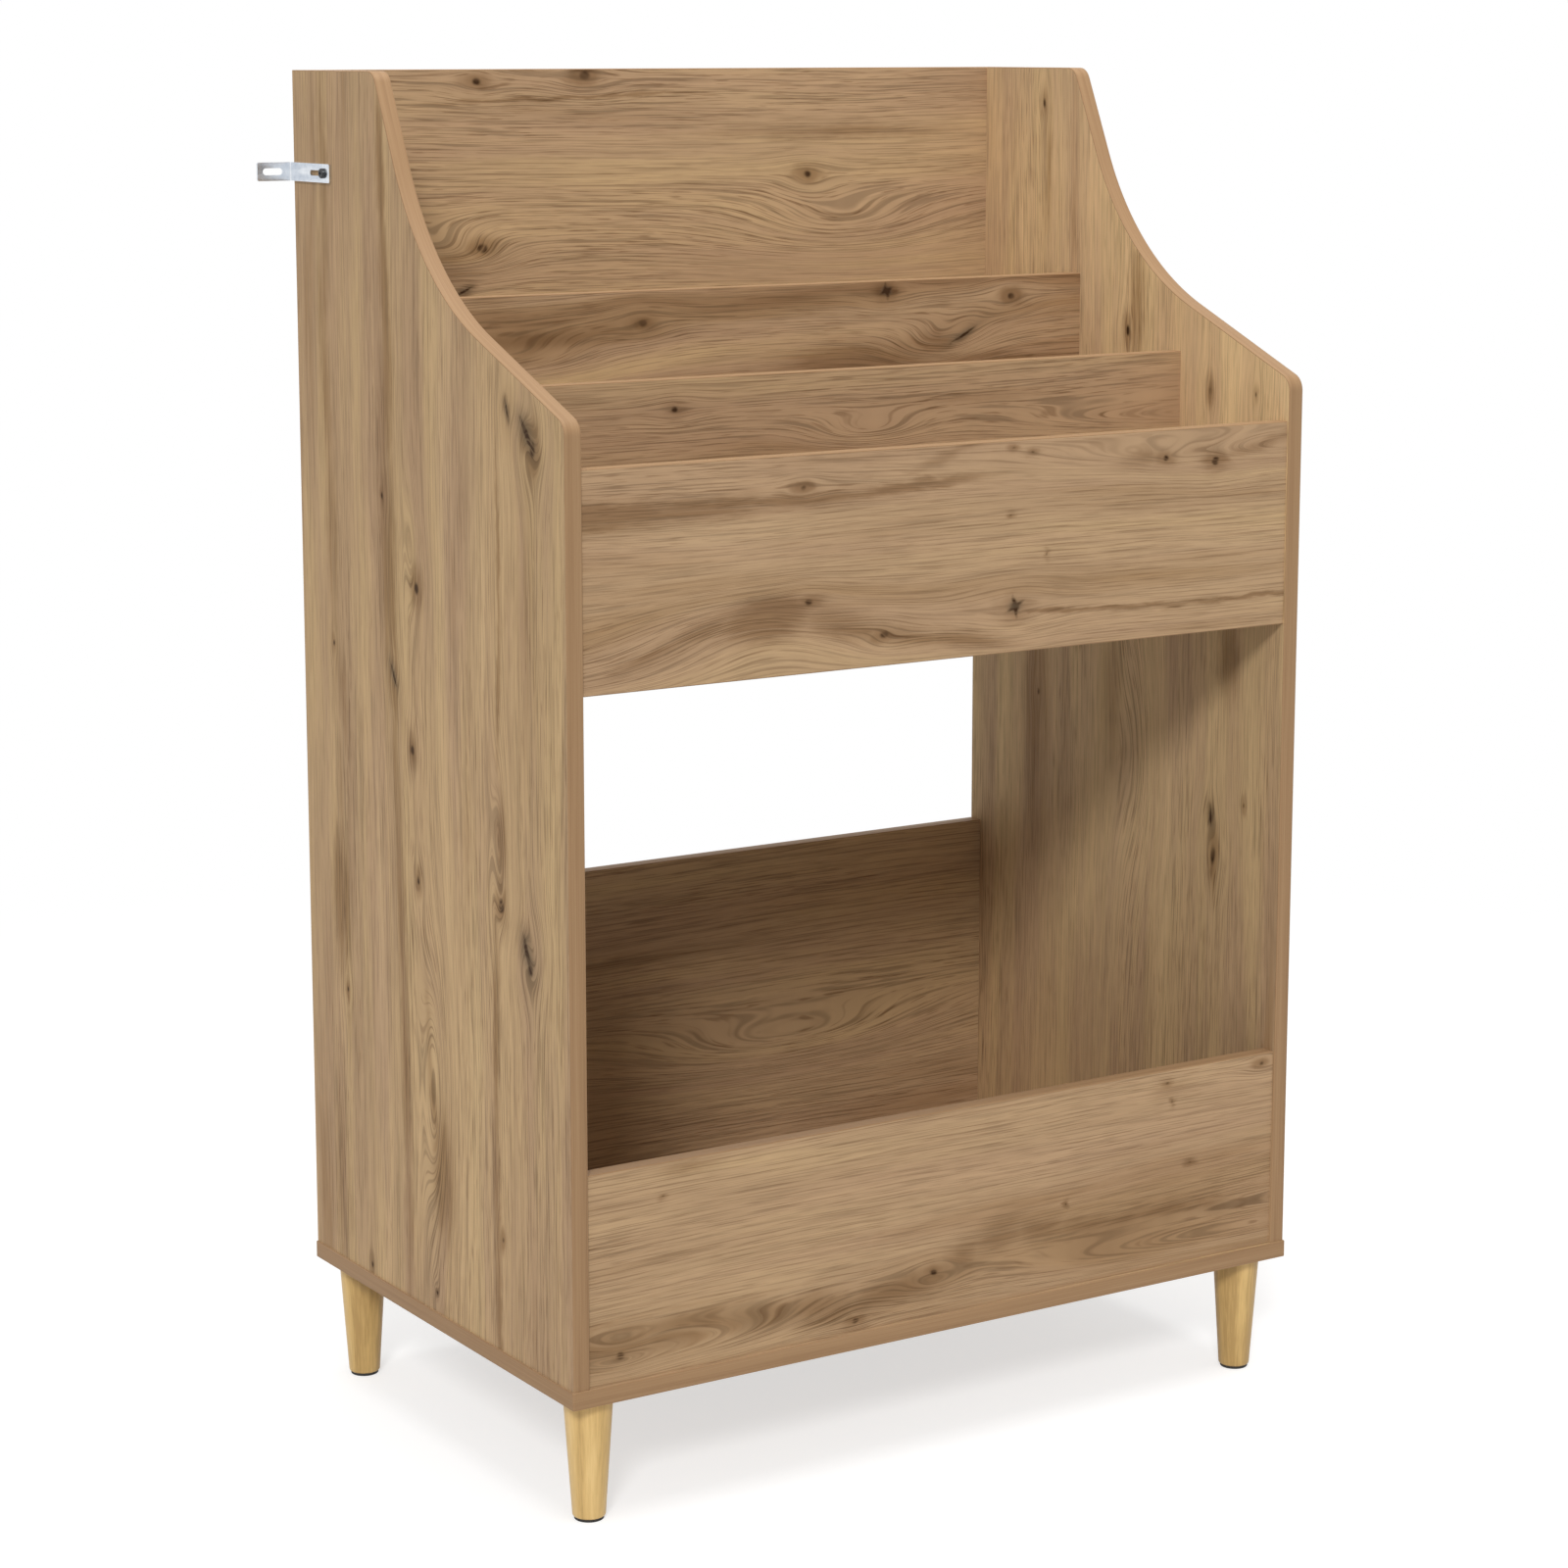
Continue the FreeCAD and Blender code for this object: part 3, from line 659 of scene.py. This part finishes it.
def running_lengths(points):
    """Length of a line of points up to each of them."""
    lengths = [0.0]
    for first, second in zip(points, points[1:]):
        lengths.append(lengths[-1] + math.dist(first, second))
    return lengths


def mitre(points, index, outward_of):
    """Outward step at one point of a path that keeps a band's thickness on both sides of it."""
    normals = []
    if index > 0:
        normals.append(outward_of((points[index] - points[index - 1]).normalized()))
    if index < len(points) - 1:
        normals.append(outward_of((points[index + 1] - points[index]).normalized()))
    outward = sum(normals, Vector()) / len(normals)
    return outward / outward.length_squared


def add_strip(build, points, outward_of, across, width):
    """Sweep the band's section along points; outward_of gives the outward side of a run."""
    layer = build.loops.layers.uv.verify()
    section = strip_section(width)
    rings = []
    for index, point in enumerate(points):
        outward = mitre(points, index, outward_of)
        ring = []
        for sideways, out in section:
            ring.append(build.verts.new(point + across * sideways + outward * (out - BAND)))
        rings.append(ring)
    lengths = running_lengths(points)
    girth = running_lengths(section)
    count = len(section)
    for index in range(len(points) - 1):
        for step in range(count):
            following = (step + 1) % count
            face = build.faces.new((rings[index][step], rings[index][following],
                                    rings[index + 1][following], rings[index + 1][step]))
            face.smooth = True
            end_girth = girth[following] if following else girth[-1] + width
            places = ((lengths[index], girth[step]), (lengths[index], end_girth),
                      (lengths[index + 1], end_girth), (lengths[index + 1], girth[step]))
            for loop, uv in zip(face.loops, places):
                loop[layer].uv = uv
    for ring, length in ((rings[0], lengths[0]), (rings[-1], lengths[-1])):
        face = build.faces.new(ring)
        for loop, (sideways, out) in zip(face.loops, section):
            loop[layer].uv = (length + out, sideways)


def band_mesh(name, strips):
    """Mesh of one or more swept bands, with the grain's UV map."""
    build = bmesh.new()
    for strip in strips:
        add_strip(build, *strip)
    bmesh.ops.recalc_face_normals(build, faces=build.faces)
    mesh = built_mesh(name, build)
    mesh.uv_layers[0].name = "Grain"
    return mesh


def make_side_bands(material):
    """Bands along the top, sweep and front of both sides."""
    flat_end = SIDE_BACK - FLAT_TOP_DEPTH
    corners = [
        (Vector((0, SIDE_BACK, SIDE_TOP)), 0, 0),
        (Vector((0, flat_end, SIDE_TOP)), CORNER_RADIUS, CORNER_STEPS),
        (Vector((0, flat_end - SWEEP_RUN, FRONT_CORNER + SWEEP_RISE)), SWEEP_RADIUS, SWEEP_STEPS),
        (Vector((0, SIDE_FRONT, FRONT_CORNER)), CORNER_RADIUS, CORNER_STEPS),
        (Vector((0, SIDE_FRONT, BASE_TOP)), 0, 0),
    ]
    path = rounded_path(corners)

    def outward(run):
        return Vector((0, run.z, -run.y))

    for side, low, high in (("left", LEFT_OUTER, LEFT_INNER), ("right", RIGHT_INNER, RIGHT_OUTER)):
        middle = Vector(((low + high) / 2, 0, 0))
        points = [middle + point for point in path]
        node = side + "_side_edge_band"
        mesh = band_mesh(node, [(points, outward, Vector((1, 0, 0)), high - low)])
        new_piece(side + "_side_band", mesh, material, [node])


def make_base_band(material):
    """Band round the front and both ends of the base."""
    low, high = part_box("base_edge_band")
    middle = (low.z + high.z) / 2
    corners = [
        (Vector((low.x, high.y, middle)), 0, 0),
        (Vector((low.x, low.y, middle)), BASE_CORNER_RADIUS, CORNER_STEPS),
        (Vector((high.x, low.y, middle)), BASE_CORNER_RADIUS, CORNER_STEPS),
        (Vector((high.x, high.y, middle)), 0, 0),
    ]

    def outward(run):
        return Vector((run.y, -run.x, 0))

    strip = (rounded_path(corners), outward, Vector((0, 0, 1)), high.z - low.z)
    new_piece("base_band", band_mesh("base_band", [strip]), material, ["base_edge_band"])


def make_board_bands(material):
    """Bands on the top edges of the upright boards, and under the upper front panel."""
    for board in ("lower_front_panel", "lower_back_panel", "upper_front_panel",
                  "middle_divider", "rear_divider", "upper_back_panel"):
        low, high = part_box(board + "_edge_band")
        middle = (low.y + high.y) / 2
        levels = [(high.z, 1)]
        if high.z - low.z > 2 * BAND:
            levels.append((low.z, -1))
        strips = []
        for level, up in levels:
            points = [Vector((low.x, middle, level)), Vector((high.x, middle, level))]
            strips.append((points, lambda run, up=up: Vector((0, 0, up)), Vector((0, 1, 0)), high.y - low.y))
        mesh = band_mesh(board + "_band", strips)
        new_piece(board + "_band", mesh, material, [board + "_edge_band"])


def turned_mesh(name, profile, centre, segments):
    """Mesh turned round the upright axis through centre from (radius, height) points."""
    build = bmesh.new()
    rings = []
    for radius, height in profile:
        ring = []
        for index in range(segments):
            angle = 2 * math.pi * index / segments
            ring.append(build.verts.new((centre.x + radius * math.cos(angle),
                                         centre.y + radius * math.sin(angle), height)))
        rings.append(ring)
    for lower, upper in zip(rings, rings[1:]):
        for index in range(segments):
            following = (index + 1) % segments
            face = build.faces.new((lower[index], lower[following], upper[following], upper[index]))
            face.smooth = True
    build.faces.new(list(reversed(rings[0])))
    build.faces.new(rings[-1])
    return built_mesh(name, build)


def rounded_profile(low_radius, low, high_radius, high, low_round, high_round, steps):
    """Straight-sided profile from low to high with rounded ends."""
    quarter = [math.pi / 2 * index / steps for index in range(steps + 1)]
    profile = []
    for angle in quarter:
        profile.append((low_radius - low_round + low_round * math.sin(angle),
                        low + low_round - low_round * math.cos(angle)))
    for angle in quarter:
        profile.append((high_radius - high_round + high_round * math.cos(angle),
                        high - high_round + high_round * math.sin(angle)))
    return profile


def make_legs(plastic):
    """Turned legs and their pads, on the CAD legs' axes; each leg's wood is lighter or darker as painted
    shade for how the light falls on it.
    """
    for corner, lightness in LEG_LIGHTNESS_WITH_PAINTED_SHADE.items():
        wood = pine("pine_" + corner, lightness)
        low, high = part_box(corner + "_leg")
        centre = (low + high) / 2
        top_radius = (high.x - low.x) / 2
        profile = rounded_profile(FOOT_RADIUS, low.z, top_radius, high.z,
                                  FOOT_ROUND, LEG_TOP_ROUND, LEG_ROUND_STEPS)
        mesh = turned_mesh(corner + "_turned_leg", profile, centre, LEG_SEGMENTS)
        new_piece(corner + "_turned_leg", mesh, wood, [corner + "_leg"])
        low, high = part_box(corner + "_foot_pad")
        radius = (high.x - low.x) / 2
        profile = rounded_profile(radius, low.z, radius, high.z,
                                  PAD_LOW_ROUND, PAD_TOP_ROUND, PAD_ROUND_STEPS)
        mesh = turned_mesh(corner + "_pad", profile, centre, PAD_SEGMENTS)
        new_piece(corner + "_pad", mesh, plastic, [corner + "_foot_pad"])


# Marks of the boards, in millimetres of the part's frame. Each call gives the face, the place along and
# across the grain and the sizes, in the order of its function above.
def left_side_marks():
    face = LEFT_OUTER
    return joined(
        crack(face, 897, -178, 24, 6, 38),
        knot(face, 886, -187, 7, 1.3),
        crack(face, 914, -145, 12, 2.5, 22),
        streak(face, 905, -150, 45, 26, 0.35, 20),
        crack(face, 672, 62, 16, 3, 30),
        crack(face, 475, -169, 22, 6, 24),
        knot(face, 462, -174, 6.5, 1.4),
        knot(face, 751, 17, 6, 1.2),
        knot(face, 611, 29, 5, 1.2),
        knot(face, 500, 22, 4, 1.3),
        knot(face, 823, 78, 3.5, 1.4),
        knot(face, 506, -126, 6.5, 1.2),
        knot(face, 220, -121, 3, 1.3),
        knot(face, 375, 162, 3.5, 1.3),
        knot(face, 684, 177, 3, 1.6),
        knot(face, 140, 0, 3, 1.3),
        knot(face, 130, 125, 3.5, 1.3),
        ribbon(face, 0.75, (1140, 72, 8), (1050, 70, 9), (950, 66, 12), (850, 71, 17), (690, 67, 20),
               (640, 58, 11)),
        ribbon(face, 0.6, (640, 62, 10), (400, 53, 11), (250, 50, 9), (110, 50, 9)),
        ribbon(face, 0.55, (1150, 182, 10), (1050, 178, 11), (950, 186, 15), (850, 178, 12),
               (690, 173, 17), (610, 157, 15)),
        streak(face, 560, 168, 70, 10, 0.5),
        streak(face, 460, 168, 75, 20, 0.8),
        streak(face, 335, 150, 55, 15, 0.45),
        streak(face, 200, 180, 110, 16, 0.55),
        streak(face, 245, -16, 60, 20, 1.0),
        ribbon(face, 0.5, (420, 12, 5), (330, 6, 8), (270, -10, 10)),
        ribbon(face, 0.8, (460, -116, 7), (330, -112, 8), (200, -112, 6), (110, -112, 7)),
        ribbon(face, 0.55, (860, -127, 4), (740, -128, 4), (640, -122, 5)),
        streak(face, 560, -128, 45, 11, 0.7),
        streak(face, 740, -175, 170, 24, 0.35),
        streak(face, 550, -68, 60, 8, 0.4),
        pale(face, 400, 95, 280, 12, 0.3),
        pale(face, 800, -40, 220, 22, 0.35),
        pale(face, 780, -95, 150, 18, 0.3),
        pale(face, 320, -85, 190, 14, 0.25),
        eye(face, 320, -8, 130, 26, 42),
        eye(face, 770, 24, 65, 14, 21),
        eye(face, 555, -126, 75, 14, 22),
    )


def right_side_marks():
    inner = RIGHT_INNER
    outer = RIGHT_OUTER
    return joined(
        # These three wide pale zones on the inner face are painted light: they brighten that face where the
        # lamps leave it in shade
        pale(inner, 1080, 20, 260, 190, 1.0),
        pale(inner, 900, -150, 150, 190, 1.0),
        pale(inner, 560, 60, 260, 200, 1.0),
        knot(inner, 1146, 127, 3.5, 1.8),
        streak(inner, 1090, 122, 110, 10, 0.5),
        knot(inner, 939, -7, 4.5, 1.6),
        streak(inner, 965, -20, 70, 14, 0.7),
        knot(inner, 893, -129, 3.5, 1.6),
        knot(inner, 894, -193, 2.5, 1.6),
        knot(inner, 581, 126, 3, 1.8),
        streak(inner, 560, 128, 130, 24, 0.7),
        streak(inner, 600, 10, 90, 22, 0.5),
        eye(inner, 540, -33, 120, 34, 30),
        streak(inner, 655, -164, 45, 17, 0.75),
        knot(inner, 468, -145, 5.5, 2.4),
        crack(inner, 505, -141, 14, 2.5, 0),
        knot(inner, 521, -188, 2.5, 1.6),
        knot(outer, 880, 60, 5, 1.6),
        streak(outer, 820, 50, 180, 12, 0.7),
        eye(outer, 640, -60, 170, 30, 26),
        knot(outer, 470, 110, 4.5, 1.8),
        streak(outer, 400, 118, 160, 14, 0.7),
        crack(outer, 330, -120, 20, 4, 20),
        streak(outer, 300, -105, 120, 10, 0.6),
        knot(outer, 1040, 150, 3.5, 1.6),
    )


def upper_front_marks():
    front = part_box("upper_front_panel")[0].y
    return joined(
        ribbon(front, 0.85, (-375, 834, 13), (-280, 835, 13), (-200, 836, 9), (-100, 838, 7), (0, 844, 4)),
        knot(front, -150, 847, 3.2),
        eye(front, -410, 722, 150, 34, 24),
        eye(front, -185, 728, 100, 36, -28),
        streak(front, -183, 742, 48, 19, 1.0, 6),
        ribbon(front, 0.7, (-140, 738, 15), (-80, 726, 13), (-20, 714, 11), (40, 704, 8)),
        ribbon(front, 0.5, (-330, 708, 7), (-270, 728, 9), (-215, 748, 12)),
        knot(front, -144, 753, 4.5),
        knot(front, -70, 720, 4.5),
        eye(front, 350, 851, 270, 17, 34),
        streak(front, 200, 850, 34, 9, 0.5),
        knot(front, 222, 849, 4),
        knot(front, 277, 844, 5.5, 1.0, 1.2),
        streak(front, 330, 856, 50, 7, 0.6, 12),
        star(front, 63, 733, 7),
        fleck(front, 58, 811, 3.5, 2),
        fleck(front, 96, 775, 2, 3.5),
        fleck(front, 80, 863, 4, 2),
        fleck(front, 60, 868, 4, 2),
        ribbon(front, 0.75, (60, 729, 3.5), (140, 724, 3), (250, 721, 3), (370, 723, 3)),
        streak(front, 0, 868, 45, 7, 0.5, 20),
        pale(front, -231, 804, 110, 22, 0.35),
        pale(front, 291, 755, 90, 24, 0.35),
    )


def lower_front_marks():
    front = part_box("lower_front_panel")[0].y
    return joined(
        knot(front, -16, 161, 4.5),
        knot(front, -327, 145, 4.5),
        knot(front, -97, 132, 4),
        ribbon(front, 0.75, (-400, 152, 25), (-300, 156, 22), (-230, 158, 20), (-160, 152, 16),
               (-100, 146, 20), (-5, 158, 11)),
        ribbon(front, 0.55, (0, 165, 11), (30, 180, 22), (75, 184, 18), (120, 176, 15), (180, 171, 10)),
        ribbon(front, 0.6, (170, 168, 8), (205, 174, 12), (268, 172, 13), (305, 168, 8)),
        streak(front, 335, 165, 42, 7, 0.45),
        eye(front, -360, 140, 220, 20, 40),
        eye(front, 350, 141, 300, 19, 38),
        fleck(front, 237, 291, 5, 3.5),
        fleck(front, 242, 273, 2.5, 4),
        streak(front, 240, 284, 28, 10, 0.45),
        knot(front, 344, 293, 3.2),
        fleck(front, 263, 214, 4, 2),
        fleck(front, 125, 198, 2, 3),
        fleck(front, -285, 274, 4, 2),
        streak(front, -262, 296, 40, 8, 0.5),
    )


def upper_back_marks():
    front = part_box("upper_back_panel")[0].y
    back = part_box("upper_back_panel")[1].y
    return joined(
        knot(front, -200, 1168, 5, 1.2),
        knot(front, -89, 1172, 6, 1.2),
        streak(front, -110, 1153, 170, 3, 0.6, 2),
        knot(front, -196, 1020, 6, 1.2),
        eye(front, -239, 1022, 60, 24, 30),
        streak(front, -225, 1008, 55, 24, 0.5),
        crack(front, -215, 983, 12, 2.5, 25),
        knot(front, 150, 1080, 5),
        streak(front, 180, 1120, 150, 8, 0.6),
        eye(front, 190, 1030, 120, 30, 34),
        knot(back, 180, 1090, 5.5),
        eye(back, -120, 1060, 150, 26, 34),
        streak(back, -40, 1010, 200, 12, 0.7, 2),
        knot(back, -250, 1120, 4),
        streak(back, 220, 1140, 120, 8, 0.6, -2),
    )


def rear_divider_marks():
    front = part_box("rear_divider")[0].y
    return joined(
        star(front, 137, 979, 5.5),
        knot(front, 278, 970, 5, 1.0, 1.2),
        eye(front, 200, 930, 60, 22, 27, 10),
        streak(front, 190, 932, 34, 13, 0.8),
        crack(front, 222, 936, 22, 2.5, 28),
        streak(front, 105, 916, 90, 20, 1.0),
        streak(front, 260, 912, 120, 9, 0.6),
        knot(front, -120, 960, 5),
        streak(front, -200, 950, 140, 10, 0.6),
        eye(front, -250, 930, 100, 24, 28),
    )


def middle_divider_marks():
    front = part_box("middle_divider")[0].y
    return joined(
        eye(front, 400, 866, 260, 17, 34),
        eye(front, 12, 871, 60, 16, 19),
        streak(front, 120, 895, 150, 8, 0.35),
        knot(front, -180, 900, 4),
    )


def lower_back_marks():
    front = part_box("lower_back_panel")[0].y
    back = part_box("lower_back_panel")[1].y
    return joined(
        eye(front, 120, 240, 200, 32, 40),
        knot(front, -180, 330, 5),
        streak(front, -60, 345, 180, 9, 0.6, 2),
        eye(back, 220, 300, 220, 30, 40),
        knot(back, -140, 220, 5.5),
        streak(back, -60, 205, 170, 12, 0.7, -2),
        knot(back, 60, 370, 4),
    )


def dress_boards():
    """Oak decor on every board, with the marks that show on its faces."""
    left = oak("oak_left_side", "upright", left_side_marks(), lightness=0.66, figure=1.3)
    right = oak("oak_right_side", "upright", right_side_marks(), lightness=0.78, figure=1.4)
    # The rear divider's low lightness is painted shade for the shade that falls on it inside its bin
    rear = oak("oak_rear_divider", "level", rear_divider_marks(), lightness=0.42, figure=1.4)
    dress("left_side_panel", left)
    dress("right_side_panel", right)
    dress("rear_divider", rear)
    dress("upper_front_panel", oak("oak_upper_front", "level", upper_front_marks(), lightness=0.54))
    dress("lower_front_panel", oak("oak_lower_front", "level", lower_front_marks(), lightness=0.48))
    dress("upper_back_panel", oak("oak_upper_back", "level", upper_back_marks(), lightness=0.65))
    dress("middle_divider", oak("oak_middle_divider", "level", middle_divider_marks(), lightness=0.53))
    dress("lower_back_panel", oak("oak_lower_back", "level", lower_back_marks()))
    plain_lying = oak("oak_lying", "lying")
    for node in ("base_board", "front_bin_floor", "middle_bin_floor", "rear_bin_floor"):
        dress(node, plain_lying)


def dress_fittings():
    """Metal and dowels that stay as CAD nodes."""
    bright = zinc()
    for node in ("left_wall_bracket", "right_wall_bracket", "cam_bolts", "cam_locks",
                 "leg_hanger_bolts", "leg_insert_nuts", "base_screws"):
        dress(node, bright)
    dress("bracket_screws", dark_steel())
    dress("dowels", beech())


def seen_directly(sheet):
    """1 for rays that show the backdrop itself: from the camera, or by reflection or glass."""
    rays = sheet.add("LightPath").outputs
    share = rays["Is Camera Ray"]
    for name in ("Is Glossy Ray", "Is Transmission Ray"):
        share = sheet.larger(share, rays[name])
    return share


def make_world():
    """White to the eye, a soft even light to the object."""
    world = bpy.data.worlds.new("studio")
    bpy.context.scene.world = world
    sheet = NodeSheet(world)
    strength = sheet.add("MapRange", seen_directly(sheet), 0.0, 1.0, AMBIENT, 1.0)
    background = sheet.tree.nodes["Background"].inputs
    sheet.feed(background["Color"], WHITE)
    sheet.feed(background["Strength"], strength.outputs["Result"])


def floor_material():
    """Material that shows white where it is lit, keeps the shadow and fades to plain white."""
    sheet = new_sheet("floor")
    sheet.tree.nodes.remove(sheet.shader)
    bounce = sheet.add("BsdfDiffuse", FLOOR_COLOUR).outputs[0]
    lit = sheet.add("BsdfDiffuse", FLOOR_SEEN_COLOUR).outputs[0]
    glow = sheet.add("Emission", WHITE, FLOOR_GLOW).outputs[0]
    near = sheet.add("AddShader", lit, glow).outputs[0]
    white = sheet.add("Emission", WHITE, 1.0).outputs[0]
    far = sheet.step(sheet.vector("LENGTH", sheet.object_place()), FLOOR_NEAR, FLOOR_FAR)
    shown = sheet.add("MixShader", far, near, white).outputs[0]
    surface = sheet.add("MixShader", seen_directly(sheet), bounce, shown).outputs[0]
    sheet.feed(sheet.tree.nodes["Material Output"].inputs["Surface"], surface)
    return sheet.owner


def make_floor():
    """Wide pale floor."""
    mesh = bpy.data.meshes.new("floor")
    reach = FLOOR_REACH
    corners = [(-reach, -reach, 0), (reach, -reach, 0), (reach, reach, 0), (-reach, reach, 0)]
    mesh.from_pydata(corners, [], [(0, 1, 2, 3)])
    mesh.materials.append(floor_material())
    floor = new_object("floor", mesh)


def make_lamps():
    """A wide soft lamp overhead and a soft light from the front left."""
    lamp = bpy.data.lights.new("overhead", "AREA")
    lamp.size = OVERHEAD_SIZE
    lamp.energy = OVERHEAD_WATTS
    overhead = new_object("overhead", lamp)
    overhead.location = OVERHEAD_PLACE
    downward = Vector(OVERHEAD_TARGET) - Vector(OVERHEAD_PLACE)
    overhead.rotation_euler = downward.to_track_quat("-Z", "Y").to_euler()
    sun = bpy.data.lights.new("key", "SUN")
    sun.energy = KEY_STRENGTH
    sun.angle = KEY_ANGLE
    key = new_object("key", sun)
    key.rotation_euler = Vector(KEY_DIRECTION).to_track_quat("-Z", "Y").to_euler()


def make_camera():
    """Camera at the front left, a little above the shelf's top."""
    data = bpy.data.cameras.new("camera")
    data.lens = CAMERA_LENS
    data.sensor_width = CAMERA_SENSOR
    data.shift_y = CAMERA_SHIFT
    camera = new_object("camera", data)
    camera.location = CAMERA_PLACE
    camera.rotation_euler = (math.pi / 2 - CAMERA_PITCH, 0, -CAMERA_AZIMUTH)
    bpy.context.scene.camera = camera


bands = edge_band()
dress_boards()
dress_fittings()
make_side_bands(bands)
make_base_band(bands)
make_board_bands(bands)
make_legs(pad_plastic())
make_world()
make_floor()
make_lamps()
make_camera()
bpy.context.scene.view_settings.view_transform = "Standard"
